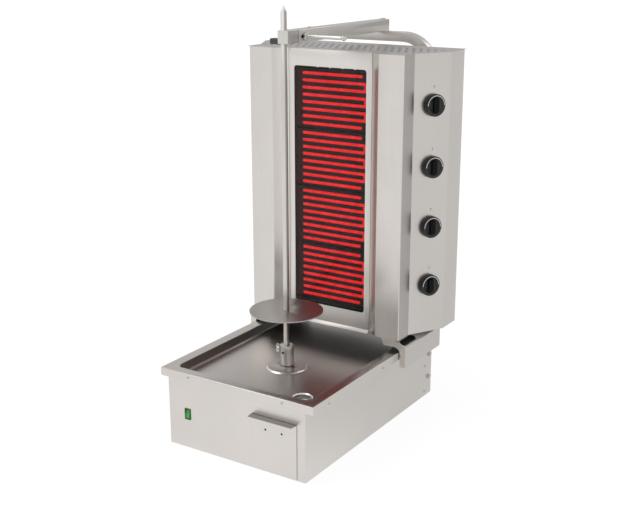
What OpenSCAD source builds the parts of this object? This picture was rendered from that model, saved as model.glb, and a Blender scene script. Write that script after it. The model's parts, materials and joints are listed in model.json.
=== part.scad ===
// Electric skewer grill: a base with a drip tray, a drawer and the spit drive,
// a heating tower that slides to and from the spit, and a mast whose arm holds
// the top of the spit. Millimetres, +Z up, +X to the user's right, the user
// stands at -Y. Origin: the spit axis at the underside of the base.

/* [Base] */
// Width of the base housing
base_w = 450; // [436:2:470]
// Depth of the base housing
base_d = 704; // [680:2:760]
// Height of the tray rim above the table
rim_z = 219; // [205:1:250]
// Width over the tray rim
rim_w = 500; // [490:2:540]
// Height of the turned-down lip of the rim
lip_h = 22; // [18:1:28]
// Thickness of the base and tray sheet
base_t = 1.5; // [1:0.1:2]
// Distance from the front of the base to the spit axis
spit_front = 247; // [235:1:262]

/* [Tray] */
// Gap between the housing wall and the recess of the tray
tray_side = 9; // [6:1:16]
// Width of the flat rim behind the recess
rear_land = 35; // [32:1:60]
// Width of the flat land in front of the recess
front_land = 29; // [24:1:40]
// How deep the tray is pressed
recess_z = 29; // [20:1:34]
// Corner radius of the recess
recess_r = 18; // [10:1:30]
// Distance of the drain from the middle
drain_x = 155; // [110:1:165]
// Distance of the drain from the front of the base
drain_y = 92; // [80:1:110]
// Radius of the drain hole
drain_r = 19; // [12:1:22]

/* [Drawer] */
// Distance of the drawer's middle from the middle of the base
drawer_x = 128; // [124:1:136]
// Width of the drawer front
drawer_w = 142; // [130:1:146]
// Height of the drawer front
drawer_h = 153.5; // [130:0.5:165]
// Depth of the fat pan
pan_d = 300; // [200:5:340]
// Height of the fat pan
pan_h = 94; // [60:1:98]
// How far the handle lip stands out
grip_out = 21; // [14:1:26]
// Spacing of the two handle holes
grip_holes = 51.6; // [32:0.1:64]

/* [Spit] */
// Side of the square spit bar
bar = 12; // [10:0.5:14]
// Gap between the bar and what it passes through
bar_fit = 0.3; // [0.2:0.05:0.5]
// Radius of the meat disc
disc_r = 102.5; // [80:0.5:108]
// Height of the meat disc above the socket
disc_up = 101; // [60:1:300]
// Thickness of the meat disc
disc_t = 3; // [2:0.5:4]
// Radius of the socket
socket_r = 19.5; // [17:0.5:24]
// Height of the socket above the rim
socket_up = 36; // [20:1:40]
// Radius of the drive shaft
shaft_r = 10; // [8:0.5:11]
// How far the tip stands above the arm
tip_up = 64.5; // [50:0.5:90]

/* [Tower] */
// Height of the tower
tower_h = 799; // [740:1:900]
// Gap between the tray rim and the tower
tower_lift = 37; // [34:1:44]
// Distance from the spit axis to the front of the columns
tower_front = 191; // [180:1:205]
// Width over the two columns
tower_w = 502; // [494:2:510]
// Width of the front of a column
column_w = 76.5; // [66:0.5:80]
// Depth of the side face behind the column front
column_d = 59.5; // [50:0.5:66]
// Sideways reach of the slanted knob face
wing_out = 58; // [48:0.5:60]
// Depth of the slanted knob face
wing_d = 105.5; // [98:0.5:112]
// Depth over the tower
tower_d = 246; // [236:1:250]
// Width of the front panel
panel_w = 273.5; // [264:0.5:280]
// How far the panel lies behind the column fronts
panel_in = 31.5; // [22:0.5:36]
// Thickness of the tower sheet
tower_t = 1.2; // [0.8:0.1:1.5]

/* [Heaters] */
// Width of the ceramic glass
glass_w = 236; // [226:1:240]
// Height of the ceramic glass
glass_h = 698; // [690:1:720]
// Thickness of the ceramic glass
glass_t = 4; // [3:0.5:5]
// Spacing of the heating ribbons
ribbon_pitch = 20.3; // [18:0.1:20.5]
// Width of a heating ribbon
ribbon_w = 8.2; // [6:0.1:11]

/* [Knobs] */
// Diameter of a knob
knob_d = 62; // [44:1:66]
// Height of a knob
knob_h = 16; // [14:0.5:24]
// Spacing of the knobs
knob_pitch = 171.3; // [150:0.1:176]

/* [Arm] */
// Gap between the tower and the arm
arm_lift = 31.5; // [29:0.5:50]
// Width of the arm
arm_w = 30; // [28:0.5:34]
// Height of the arm
arm_h = 34; // [30:0.5:40]
// Sideways offset of the arm from the spit axis
arm_x = 3.5; // [1:0.5:4]
// Side of the square mast tube
mast_w = 28; // [24:1:32]
// Outer bend radius of the mast
mast_bend = 115; // [90:1:120]
// Distance of the mast leg from the middle
mast_x = 177; // [170:1:184]
// Gap between the base and the mast
mast_gap = 41; // [38:1:60]
// Travel of the sliding spit holder
holder_slide = 15; // [8:1:18]

/* [Hidden] */
$fn = 48;
eps = 0.1;
gap = 0.3;
top_z = rim_z + tower_lift + tower_h;
tower_z = rim_z + tower_lift;
mid_z = tower_z + tower_h / 2;
base_front = -spit_front;
base_rear = base_d - spit_front;

// rim and tray
overlap = 1.6;
rim_x = rim_w / 2;
lip_z = rim_z - lip_h;
recess_w = base_w - 2 * tray_side;
recess_front = base_front + front_land;
recess_d = base_d - front_land - rear_land;
floor_z = rim_z - recess_z;
tray_under = floor_z - base_t;
drain_at = [drain_x, base_front + drain_y];
shaft_hole_r = 18;

// housing openings
drawer_low = 3.5;
drawer_overlap = 5;
drawer_top = drawer_low + drawer_h;
drawer_face = 3;
drawer_left = drawer_x - drawer_w / 2;
hole_left = drawer_left + drawer_overlap;
hole_w = drawer_w - 2 * drawer_overlap;
hole_low = drawer_low + 8;
hole_top = drawer_top - 7;
rail_t = 1.5;
pan_clear = 2.5;
pan_t = 1.2;
pan_z = hole_low + 4.5;
grip_hole_r = 3;
grip_hole_z = drawer_low + 118.5;

switch_at = [-160, 100];
switch_w = 17.2;
switch_h = 29.8;
bezel_w = switch_w + 2.4;
bezel_h = switch_h + 2.4;
rocker_w = switch_w - 3.4;
rocker_h = switch_h - 3.4;
rocker_tilt = 10;

// drive
bracket_t = 3;
bracket_z = tray_under - 12;
gearbox_w = 76;
gearbox_h = 60;
motor_r = 32;
motor_h = 85;
bracket_w = 96;
bracket_d = 116;
socket_top = rim_z + socket_up;
neck_r = shaft_r + 4;
neck_low = floor_z + 2;
flange_r = 59;
flange_h = 7;
neck_top = floor_z + flange_h + 1.5;
shaft_top = floor_z + 14;
bar_low = socket_top - 40;
hole_side = bar + 2 * bar_fit;

// arm, mast and holder
arm_z = top_z + arm_lift;
arm_top = arm_z + arm_h;
arm_t = 2.5;
slot_r = bar * sqrt(2) / 2 + bar_fit;
block_front = -(slot_r + 1.7);
block_rear = slot_r + holder_slide + 16.5;
tongue_gap = 0.3;
tongue_end = 150;
lock_y = 72;
lock_z = arm_z + 15;
lock_r = 4;
lock_fit = 0.05;
mast_y = base_rear + mast_gap;
mast_left = -115;
stop_y = 115;
arm_screw_y = [stop_y, mast_y + 7, mast_y + mast_w - 7];
tip_z = arm_top + tip_up;

// tower plan, right half, from the panel to the rear corner
panel_y = tower_front + panel_in;
rear_y = tower_front + tower_d;
column_x = tower_w / 2;
wing_x = column_x + wing_out;
fold_y = tower_front + column_d;
plan = [
    [panel_w / 2, panel_y],
    [column_x - column_w, tower_front],
    [column_x, tower_front],
    [column_x, fold_y],
    [wing_x, fold_y + wing_d],
    [wing_x, rear_y]
];
face_len = norm([wing_out, wing_d]);
face_dir = [wing_out, wing_d] / face_len;
face_angle = atan2(-face_dir[0], face_dir[1]);
knob_t = 0.54 * face_len;
knob_at = [column_x, fold_y] + knob_t * face_dir;

// saddles
skirt_in = rim_x + 2.2;
skirt_out = skirt_in + 18;
skirt_low = rim_z - 44;
web_low = rim_z + 16;
saddle_y = tower_front + 8;
saddle_d = 219;
saddle_t = 2;
plate_z = rim_z + 13;
web_in = column_x - 19;
web_angle = atan2(tower_z - web_low, skirt_out - web_in);
vent_w = 22;
vent_len = 80;

steel = "#cfcbc5";
dark_steel = "#8d8984";
black = "#222321";

// ---- helpers -------------------------------------------------------------

function unit(v) = v / norm(v);
function left_of(v) = [-v[1], v[0]];
// the points of an open path moved sideways by t, with mitred corners
function beside(path, t) = [
    for (i = [0 : len(path) - 1])
        let (before = unit(path[max(i, 1)] - path[max(i, 1) - 1]),
             after = unit(path[min(i, len(path) - 2) + 1]
                          - path[min(i, len(path) - 2)]),
             a = left_of(before), b = left_of(after))
        path[i] + t * (a + b) / (1 + a * b)
];
// the same for a closed outline
function around(path, t) =
    let (n = len(path), moved = beside(concat([path[n - 1]], path, [path[0]]), t))
    [for (i = [1 : n]) moved[i]];
function backwards(path) = [for (i = [len(path) - 1 : -1 : 0]) path[i]];
function reversed_x(path) = [for (p = path) [-p[0], p[1]]];

// a strip of sheet of thickness t on the left of an open path
module strip(path, t) {
    polygon(concat(path, backwards(beside(path, t))));
}

module block(from, to) {
    translate(from) cube(to - from);
}

module round_plate(w, d, r) {
    square([w - 2 * r, d], center = true);
    square([w, d - 2 * r], center = true);
    for (x = [-1, 1], y = [-1, 1])
        translate([x * (w / 2 - r), y * (d / 2 - r)]) circle(r);
}

module ring(r_out, r_in, h) {
    linear_extrude(h) difference() {
        circle(r_out);
        circle(r_in);
    }
}

// extrude an outline drawn in X and Z along +Y
module along_y(y, d) {
    translate([0, y + d, 0]) rotate([90, 0, 0]) linear_extrude(d) children();
}

// extrude an outline drawn in Y and Z along +X
module along_x(x, w) {
    translate([x, 0, 0]) rotate([90, 0, 90]) linear_extrude(w) children();
}

module both_sides() {
    children();
    mirror([1, 0, 0]) children();
}

// pan-head screw: head on the outside of z = 0, shank below it
module screw(head_r, head_h, shank_r, shank) {
    cylinder(h = head_h, r = head_r);
    translate([0, 0, -shank]) cylinder(h = shank + eps, r = shank_r);
}

// ---- base ----------------------------------------------------------------

rim_screw_r = 4.2;
rim_shank_r = 2;
rim_head = 1.7;
front_screw_x = 154.3;
front_screw_z = rim_z - 10;
side_screw_z = rim_z - 16;
side_screw_y = [base_front + 73, base_front + 356, base_front + 433, base_rear - 50];
cover_screw_z = [15, 98];
cover_screw_y = base_rear - 41;
mast_bolt_z = [56, 130];
mast_bolt_y = base_rear - 16;
mast_bolt_r = 4;
block_z = [51, 135];
block_h = 30;
block_w = mast_w - 2;
gland_at = [-120, 60];
gland_r = 12;

module base_housing() {
    x = base_w / 2;
    flange_x = rim_x - base_t - gap;
    wall_top = lip_z;
    color(steel) difference() {
        union() {
            block([-x, base_front, 0], [x, base_front + base_t, rim_z - base_t - eps]);
            both_sides() {
                block([x - base_t, base_front, 0], [x, base_rear, wall_top]);
                block([x - base_t, base_front, wall_top - base_t],
                      [flange_x, base_rear, wall_top]);
                block([flange_x - base_t, base_front, wall_top - base_t],
                      [flange_x, base_rear, rim_z - base_t - eps]);
                block([x - base_t - eps, base_front, wall_top - base_t],
                      [flange_x, base_front + base_t, rim_z - base_t - eps]);
            }
        }
        block([hole_left, base_front - 1, hole_low],
              [hole_left + hole_w, base_front + base_t + 1, hole_top]);
        translate([switch_at[0], 0, switch_at[1]])
            block([-switch_w / 2 - gap, base_front - 1, -switch_h / 2 - gap],
                  [switch_w / 2 + gap, base_front + base_t + 1, switch_h / 2 + gap]);
        for (s = [-1, 1]) {
            translate([s * front_screw_x, base_front - 1, front_screw_z])
                rotate([-90, 0, 0]) cylinder(h = 10, r = rim_shank_r + gap);
            for (y = side_screw_y)
                translate([s * (rim_x + 1), y, side_screw_z])
                    rotate([0, -s * 90, 0]) cylinder(h = 10, r = rim_shank_r + gap);
            for (z = cover_screw_z)
                translate([s * (x + 1), cover_screw_y, z])
                    rotate([0, -s * 90, 0]) cylinder(h = 10, r = rim_shank_r + gap);
        }
        for (z = mast_bolt_z)
            translate([x - 10, mast_bolt_y, z])
                rotate([0, 90, 0]) cylinder(h = 20, r = mast_bolt_r + gap);
    }
}

module base_floor() {
    x = base_w / 2 - base_t - eps;
    color(dark_steel)
        block([-x, base_front + base_t + eps, 0], [x, base_rear - base_t - eps, base_t]);
}

// the lugs on the sides take the cover screws
module rear_cover() {
    x = base_w / 2 - base_t - eps;
    lug_d = base_rear - cover_screw_y + 8;
    color(steel) difference() {
        union() {
            block([-x, base_rear - base_t, 0], [x, base_rear, rim_z - base_t - eps]);
            for (s = [-1, 1], z = cover_screw_z)
                translate([s * (x - base_t / 2), base_rear - lug_d / 2, z])
                    cube([base_t, lug_d, 14], center = true);
        }
        for (z = block_z)
            translate([mast_x, base_rear, z])
                cube([block_w + 2, 10, block_h + 2], center = true);
        translate([gland_at[0], base_rear + 1, gland_at[1]])
            rotate([90, 0, 0]) cylinder(h = 10, r = gland_r - 4 + gap);
        for (s = [-1, 1], z = cover_screw_z)
            translate([s * (x + 1), cover_screw_y, z])
                rotate([0, -s * 90, 0]) cylinder(h = 10, r = rim_shank_r + gap);
    }
}

module cover_screws() {
    color(dark_steel) for (s = [-1, 1], z = cover_screw_z)
        translate([s * base_w / 2, cover_screw_y, z])
            rotate([0, s * 90, 0]) screw(rim_screw_r - 0.4, 1.8, rim_shank_r, 2 * base_t + 2);
}

module drip_tray() {
    x = rim_x;
    front = base_front - overlap;
    rear = base_rear + overlap;
    recess_mid = recess_front + recess_d / 2;
    color(steel) difference() {
        union() {
            block([-x, front, lip_z], [x, rear, rim_z]);
            translate([0, recess_mid, tray_under])
                linear_extrude(recess_z)
                    round_plate(recess_w + 2 * base_t, recess_d + 2 * base_t,
                                recess_r + base_t);
        }
        difference() {
            block([base_t - x, base_front - eps, lip_z - 1],
                  [x - base_t, base_rear + eps, rim_z - base_t]);
            translate([0, recess_mid, tray_under])
                linear_extrude(recess_z + 1)
                    round_plate(recess_w + 2 * base_t, recess_d + 2 * base_t,
                                recess_r + base_t);
        }
        translate([0, recess_mid, floor_z])
            linear_extrude(recess_z + 1) round_plate(recess_w, recess_d, recess_r);
        translate([0, 0, tray_under - 1]) cylinder(h = 10, r = shaft_hole_r);
        translate([drain_at[0], drain_at[1], tray_under - 1]) cylinder(h = 10, r = drain_r);
        for (s = [-1, 1]) {
            translate([s * front_screw_x, front - 1, front_screw_z])
                rotate([-90, 0, 0]) cylinder(h = 10, r = rim_shank_r + gap);
            for (y = side_screw_y)
                translate([s * (x + 1), y, side_screw_z])
                    rotate([0, -s * 90, 0]) cylinder(h = 10, r = rim_shank_r + gap);
        }
    }
}

module rim_screws() {
    color(dark_steel) for (s = [-1, 1]) {
        translate([s * front_screw_x, base_front - overlap, front_screw_z])
            rotate([90, 0, 0]) screw(rim_screw_r, rim_head, rim_shank_r, 6);
        for (y = side_screw_y)
            translate([s * rim_x, y, side_screw_z])
                rotate([0, s * 90, 0]) screw(rim_screw_r, rim_head, rim_shank_r, 6);
    }
}

// the dished collar on the tray floor round the drive shaft
module spit_flange() {
    color(steel) rotate_extrude() polygon([
        [neck_r + 1, floor_z - 4],
        [shaft_hole_r - gap, floor_z - 4],
        [shaft_hole_r - gap, floor_z],
        [flange_r, floor_z],
        [flange_r, floor_z + 1.5],
        [flange_r - 7, floor_z + 3.5],
        [neck_r + 9, floor_z + flange_h - 2],
        [neck_r + 6, floor_z + flange_h],
        [neck_r + 1, floor_z + flange_h]
    ]);
}

strainer_wall = 2;
strainer_drop = 14;

module drain_strainer() {
    out = drain_r - gap;
    color(steel) translate([drain_at[0], drain_at[1], 0]) {
        translate([0, 0, floor_z]) ring(drain_r + 7, out - strainer_wall, 2.4);
        translate([0, 0, floor_z - strainer_drop])
            ring(out, out - strainer_wall, strainer_drop + eps);
        difference() {
            translate([0, 0, floor_z - strainer_drop]) cylinder(h = strainer_wall, r = out - 1);
            for (a = [0 : 60 : 300])
                rotate(a) translate([drain_r * 0.55, 0, floor_z - strainer_drop - 1])
                    cylinder(h = strainer_wall + 2, r = 3);
            translate([0, 0, floor_z - strainer_drop - 1]) cylinder(h = strainer_wall + 2, r = 3);
        }
    }
}

// ---- drawer --------------------------------------------------------------

module drawer_front() {
    face = base_front - drawer_face;
    right = drawer_left + drawer_w;
    chamfer = 3;
    color(steel) difference() {
        union() {
            block([drawer_left, face, drawer_low], [right, face + pan_t, drawer_top]);
            block([drawer_left, face, drawer_low],
                  [drawer_left + pan_t, base_front - gap, drawer_top]);
            block([right - pan_t, face, drawer_low], [right, base_front - gap, drawer_top]);
            block([drawer_left, face, drawer_low],
                  [right, base_front - gap, drawer_low + pan_t]);
            translate([0, 0, drawer_top - pan_t]) linear_extrude(pan_t) polygon([
                [drawer_left, face + pan_t], [drawer_left, face],
                [drawer_left + chamfer, face - grip_out],
                [right - chamfer, face - grip_out],
                [right, face], [right, face + pan_t]
            ]);
            block([drawer_left + chamfer, face - grip_out, drawer_top - 5],
                  [right - chamfer, face - grip_out + pan_t, drawer_top]);
        }
        for (s = [-1, 1])
            translate([drawer_x + s * grip_holes / 2, face - 1, grip_hole_z])
                rotate([-90, 0, 0]) cylinder(h = 6, r = grip_hole_r);
    }
}

module fat_pan() {
    left = hole_left + pan_clear;
    right = hole_left + hole_w - pan_clear;
    front = base_front - drawer_face + pan_t;
    color(dark_steel) difference() {
        block([left, front, pan_z], [right, front + pan_d, pan_z + pan_h]);
        block([left + pan_t, front + pan_t, pan_z + pan_t],
              [right - pan_t, front + pan_d - pan_t, pan_z + pan_h + 1]);
    }
}

module drawer_rails() {
    color(dark_steel) for (s = [-1, 1]) {
        wall = drawer_x + s * (hole_w / 2 - pan_clear + gap);
        translate([wall, 0, 0]) scale([s, 1, 1]) {
            block([0, base_front + base_t + eps, base_t],
                  [rail_t, base_front + pan_d + 10, pan_z + 20]);
            block([-12, base_front + base_t + eps, pan_z - rail_t - gap],
                  [rail_t, base_front + pan_d + 10, pan_z - gap]);
            block([0, base_front + base_t + eps, base_t],
                  [14, base_front + pan_d + 10, base_t + rail_t]);
        }
    }
}

// ---- spit drive ----------------------------------------------------------

module motor_bracket() {
    x = bracket_w / 2;
    y = bracket_d / 2;
    foot = 18;
    color(dark_steel) difference() {
        union() {
            block([-x, -y, bracket_z - bracket_t], [x, y, bracket_z]);
            for (s = [-1, 1]) scale([1, s, 1]) {
                block([-x, y - bracket_t, base_t], [x, y, bracket_z]);
                block([-x, y - bracket_t, base_t], [x, y + foot, base_t + bracket_t]);
            }
        }
        translate([0, 0, bracket_z - 10]) cylinder(h = 20, r = shaft_r + 4);
    }
}

module gearbox() {
    top = bracket_z - bracket_t;
    color("#55585c") difference() {
        block([-gearbox_w / 2, -gearbox_w / 2, top - gearbox_h],
              [gearbox_w / 2, gearbox_w / 2, top]);
        translate([0, 0, top - 40]) cylinder(h = 41, r = shaft_r + lock_fit);
    }
}

module motor() {
    top = bracket_z - bracket_t - gearbox_h;
    color("#3a3d40") {
        translate([0, 0, top - motor_h]) cylinder(h = motor_h, r = motor_r);
        translate([0, 0, top - motor_h + 12]) cylinder(h = motor_h - 40, r = motor_r + 3);
    }
}

module drive_shaft() {
    low = bracket_z - bracket_t - 39.5;
    color("silver") translate([0, 0, low]) cylinder(h = shaft_top - low, r = shaft_r);
}

module spit_socket() {
    color(steel) difference() {
        union() {
            translate([0, 0, neck_low]) cylinder(h = neck_top - neck_low + 1, r = neck_r);
            translate([0, 0, neck_top]) cylinder(h = socket_top - neck_top, r = socket_r);
        }
        translate([0, 0, neck_low - 1])
            cylinder(h = shaft_top - neck_low + 1, r = shaft_r + eps / 2);
        translate([-hole_side / 2, -hole_side / 2, bar_low - gap])
            cube([hole_side, hole_side, 60]);
        translate([0, 0, socket_top - 14]) rotate([0, -90, 0])
            cylinder(h = socket_r + 5, r = 4 + lock_fit);
        translate([0, 0, socket_top - 18]) rotate([90, 0, 0])
            cylinder(h = socket_r + 5, r = 2.6);
        translate([hole_side / 2 - 1, -1.4, socket_top - 30]) cube([socket_r, 2.8, 31]);
    }
}

// wing screw: tip at the origin, stem and wings towards +Z
module wing_screw(stem, wing) {
    cylinder(h = stem + 8, r = 4);
    translate([0, 0, stem]) cylinder(h = 8, r = 6);
    difference() {
        translate([0, 0, stem + 5]) rotate([90, 0, 0])
            translate([0, 0, -1.7]) linear_extrude(3.4) union() {
                for (s = [-1, 1]) translate([s * (wing - 6), 2]) circle(6);
                square([2 * wing - 12, 7], center = true);
            }
    }
}

module socket_screw() {
    tip = bar / 2 + bar_fit;
    color("silver") translate([-tip - gap, 0, socket_top - 14])
        rotate([0, -90, 0]) wing_screw(socket_r - tip + 3, 13);
}

module spit_bar() {
    side = bar / 2;
    point = 19;
    color(steel) {
        block([-side, -side, bar_low], [side, side, tip_z - point]);
        translate([0, 0, tip_z - point]) rotate(45)
            cylinder(h = point, r1 = side * sqrt(2), r2 = 0.6, $fn = 4);
    }
}

hub_r = 16;
hub_h = 26;

module meat_disc() {
    disc_z = socket_top + disc_up;
    color(steel) difference() {
        union() {
            translate([0, 0, disc_z]) cylinder(h = disc_t, r = disc_r, $fn = 96);
            translate([0, 0, disc_z - hub_h]) cylinder(h = hub_h + 1, r = hub_r);
        }
        translate([-hole_side / 2, -hole_side / 2, disc_z - hub_h - 1])
            cube([hole_side, hole_side, hub_h + disc_t + 2]);
        translate([0, 0, disc_z - hub_h / 2]) rotate([0, -90, 0])
            cylinder(h = hub_r + 5, r = 4 + lock_fit);
    }
}

module disc_screw() {
    tip = bar / 2 + bar_fit;
    color("silver") translate([-tip - gap, 0, socket_top + disc_up - hub_h / 2])
        rotate([0, -90, 0]) rotate(90) wing_screw(hub_r - tip + 3, 11);
}

// ---- switch and supply ---------------------------------------------------

module switch_body() {
    color(black) translate([switch_at[0], base_front, switch_at[1]]) difference() {
        union() {
            block([-bezel_w / 2, -2.5, -bezel_h / 2], [bezel_w / 2, 0, bezel_h / 2]);
            block([-switch_w / 2, -eps, -switch_h / 2], [switch_w / 2, 26, switch_h / 2]);
        }
        block([-rocker_w / 2 - gap, -3, -rocker_h / 2 - 1],
              [rocker_w / 2 + gap, 14, rocker_h / 2 + 1]);
    }
}

// a see-saw cap with two slanted faces, pressed at its top half
module switch_rocker() {
    color("#1f9d4a") translate([switch_at[0], base_front, switch_at[1]])
        rotate([-rocker_tilt, 0, 0]) along_x(-rocker_w / 2, rocker_w) polygon([
            [-3.2, 0], [-1.2, rocker_h / 2 - 1], [4.5, rocker_h / 2 - 1.6],
            [8, 5], [8, -5], [4.5, 1.6 - rocker_h / 2], [-1.2, 1 - rocker_h / 2]
        ]);
}

module supply_gland() {
    color(black) translate([gland_at[0], base_rear, gland_at[1]]) rotate([-90, 0, 0])
        difference() {
            union() {
                cylinder(h = 6, r = gland_r, $fn = 6);
                translate([0, 0, 5]) cylinder(h = 11, r = gland_r - 2);
                translate([0, 0, -12]) cylinder(h = 13, r = gland_r - 4);
                translate([0, 0, -base_t - 5]) cylinder(h = 5, r = gland_r, $fn = 6);
            }
            translate([0, 0, -20]) cylinder(h = 60, r = 5);
        }
}

// ---- mast and arm --------------------------------------------------------

plate_in = 2 * base_t + 2 * eps;
plate_x = base_w / 2 - plate_in;
plate_t = 6;
plate_low = block_z[0] - block_h / 2 - 6;
plate_high = block_z[1] + block_h / 2 + 6;
flange_y = base_rear - base_t - eps;
mast_in = mast_x - mast_w / 2;
mast_out = mast_x + mast_w / 2;
mast_low = block_z[0] - block_h / 2;

// a thick angle inside the rear corner; two blocks reach out to the mast
module mast_bracket() {
    color(dark_steel) difference() {
        union() {
            block([plate_x - plate_t, mast_bolt_y - 30, plate_low], [plate_x, flange_y, plate_high]);
            block([mast_in - 4, flange_y - plate_t, plate_low], [plate_x, flange_y, plate_high]);
            for (z = block_z)
                block([mast_x - block_w / 2, flange_y - 1, z - block_h / 2],
                      [mast_x + block_w / 2, mast_y, z + block_h / 2]);
        }
        for (z = mast_bolt_z)
            translate([plate_x - 10, mast_bolt_y, z])
                rotate([0, 90, 0]) cylinder(h = 20, r = mast_bolt_r + gap);
        translate([plate_x - 10, cover_screw_y, cover_screw_z[1]])
            rotate([0, 90, 0]) cylinder(h = 20, r = rim_shank_r + gap);
    }
}

module mast_bolts() {
    color("silver") for (z = mast_bolt_z)
        translate([base_w / 2, mast_bolt_y, z]) rotate([0, 90, 0]) {
            screw(7, 5.5, mast_bolt_r, plate_in + plate_t + 8);
            translate([0, 0, -plate_in - plate_t - 6]) cylinder(h = 6, r = 7.5, $fn = 6);
        }
}

module mast_section() {
    wall = 2;
    difference() {
        square([mast_w, mast_w]);
        translate([wall, wall]) square([mast_w - 2 * wall, mast_w - 2 * wall]);
    }
}

module spit_mast() {
    bend_x = mast_out - mast_bend;
    bend_z = arm_z - mast_bend;
    color(steel) {
        translate([mast_in, mast_y, mast_low])
            linear_extrude(bend_z - mast_low) mast_section();
        translate([bend_x, mast_y, bend_z]) rotate([90, 0, 0]) mirror([0, 0, 1])
            rotate_extrude(angle = 90, $fn = 96)
                translate([mast_bend - mast_w, 0]) mast_section();
        translate([mast_left, mast_y, arm_z - mast_w])
            rotate([90, 0, 90]) linear_extrude(bend_x - mast_left) mast_section();
    }
}

module arm_channel() {
    left = arm_x - arm_w / 2;
    right = arm_x + arm_w / 2;
    near = block_rear + 3;
    far = mast_y + mast_w;
    color(steel) difference() {
        block([left, near, arm_z], [right, far, arm_top]);
        block([left + arm_t, near - 1, arm_z - 1], [right - arm_t, far + 1, arm_top - arm_t]);
        // the slot for the clamp screw, long enough for the holder's travel
        hull() for (y = [lock_y - holder_slide, lock_y])
            translate([right - arm_t - 1, y, lock_z])
                rotate([0, 90, 0]) cylinder(h = arm_t + 2, r = lock_r + gap, $fn = 32);
        for (y = arm_screw_y)
            translate([arm_x, y, arm_top - arm_t - 1]) cylinder(h = 5, r = 3 + gap);
    }
    // the web's lower flange where the arm rests on the mast
    color(steel) difference() {
        block([left + arm_t - eps, mast_y, arm_z], [right - arm_t + eps, far, arm_z + arm_t]);
        for (y = arm_screw_y)
            translate([arm_x, y, arm_z - 1]) cylinder(h = 5, r = 3 + gap);
    }
}

module arm_screws() {
    color("silver") for (y = arm_screw_y)
        translate([arm_x, y, arm_top]) screw(5, 3, 3, 7);
}

// the block with the long hole for the spit, and the tongue that slides in the arm
module spit_holder() {
    left = arm_x - arm_w / 2 - 1;
    right = arm_x + arm_w / 2 + 1;
    tongue_left = arm_x - arm_w / 2 + arm_t + tongue_gap;
    tongue_right = arm_x + arm_w / 2 - arm_t - tongue_gap;
    tongue_top = arm_top - arm_t - tongue_gap;
    color(steel) difference() {
        union() {
            block([left, block_front, arm_z], [right, block_rear, arm_top]);
            block([tongue_left, block_rear - 1, arm_z + 3],
                  [tongue_right, tongue_end, tongue_top]);
        }
        for (y = [0, holder_slide + 1])
            translate([0, y, arm_z - 1]) cylinder(h = arm_h + 2, r = slot_r);
        block([-slot_r, 0, arm_z - 1], [slot_r, holder_slide + 1, arm_top + 1]);
        translate([0, lock_y, lock_z]) rotate([0, 90, 0])
            cylinder(h = arm_w, r = lock_r + lock_fit);
        block([arm_x - 3.5, stop_y - 4, tongue_top - 5],
              [arm_x + 3.5, stop_y + holder_slide + 4, tongue_top + 1]);
    }
}

module holder_grip() {
    right = arm_x - arm_w / 2 - 1;
    len = 46;
    depth = 22;
    color(black) translate([right - len / 2, block_rear - depth / 2, arm_z - 5])
        linear_extrude(15) round_plate(len, depth, 3);
}

module lock_rod() {
    right = arm_x + arm_w / 2;
    collar = 8;
    rod = 115;
    color("silver") translate([right + gap, lock_y, lock_z]) rotate([0, 90, 0]) {
        translate([0, 0, -14]) cylinder(h = 15, r = lock_r);
        cylinder(h = collar, r = 10.5);
        translate([0, 0, collar - 1]) cylinder(h = rod, r = 5);
        translate([0, 0, rod + 4]) rotate_extrude() difference() {
            circle(7);
            translate([-8, -8]) square([8, 16]);
        }
    }
}

// ---- saddles that carry the tower on the rim ------------------------------

// outline of the bent sheet: tower flange, slanted web and outer skirt
skirt_path = [
    [web_in - 42, tower_z], [web_in, tower_z], [skirt_out, web_low], [skirt_out, skirt_low]
];
guide_path = [
    [web_in - 32, plate_z + saddle_t], [skirt_in + saddle_t, plate_z + saddle_t],
    [skirt_in + saddle_t, skirt_low]
];

// the end plate arches over the rim and reaches down outside it
module end_plate() {
    arch_r = 18;
    difference() {
        polygon(concat(skirt_path, [
            [skirt_in, skirt_low], [skirt_in, plate_z - arch_r],
            [skirt_in - arch_r, plate_z - arch_r], [skirt_in - arch_r, plate_z],
            [web_in - 32, plate_z]
        ]));
        translate([skirt_in - arch_r, plate_z - arch_r]) circle(arch_r);
    }
}

module saddle() {
    mid = [(web_in + skirt_out) / 2, (tower_z + web_low) / 2];
    vent_y = saddle_y + 4 + vent_len / 2;
    difference() {
        union() {
            along_y(saddle_y, saddle_d) strip(skirt_path, -saddle_t);
            along_y(saddle_y, saddle_d) strip(guide_path, -saddle_t);
            for (y = [saddle_y, saddle_y + saddle_d - saddle_t])
                along_y(y, saddle_t) end_plate();
        }
        translate([mid[0] + 4, vent_y, mid[1] - 2.2]) rotate([0, web_angle, 0])
            translate([0, 0, -6]) linear_extrude(12)
                round_plate(vent_w, vent_len, vent_w / 2 - 0.01);
        for (y = bolt_y)
            translate([bolt_x, y, tower_z - 5]) cylinder(h = 10, r = 3 + gap);
    }
}

bolt_x = web_in - 30;
bolt_y = [saddle_y + 20, saddle_y + saddle_d - 20];

module saddle_left() {
    color(steel) mirror([1, 0, 0]) saddle();
}

module saddle_right() {
    color(steel) saddle();
}

module slide_pads() {
    pad_x = [rim_x - 28, rim_x - 8];
    color(black) both_sides() for (y = [saddle_y + 6, saddle_y + saddle_d - 66])
        block([pad_x[0], y, rim_z + gap], [pad_x[1], y + 60, plate_z]);
}

module saddle_bolts() {
    color("silver") both_sides() for (y = bolt_y)
        translate([bolt_x, y, tower_z - saddle_t]) rotate([180, 0, 0])
            screw(5.5, 4, 3, saddle_t + tower_t + 4);
}

// ---- tower ---------------------------------------------------------------

return_flange = 14;

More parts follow.
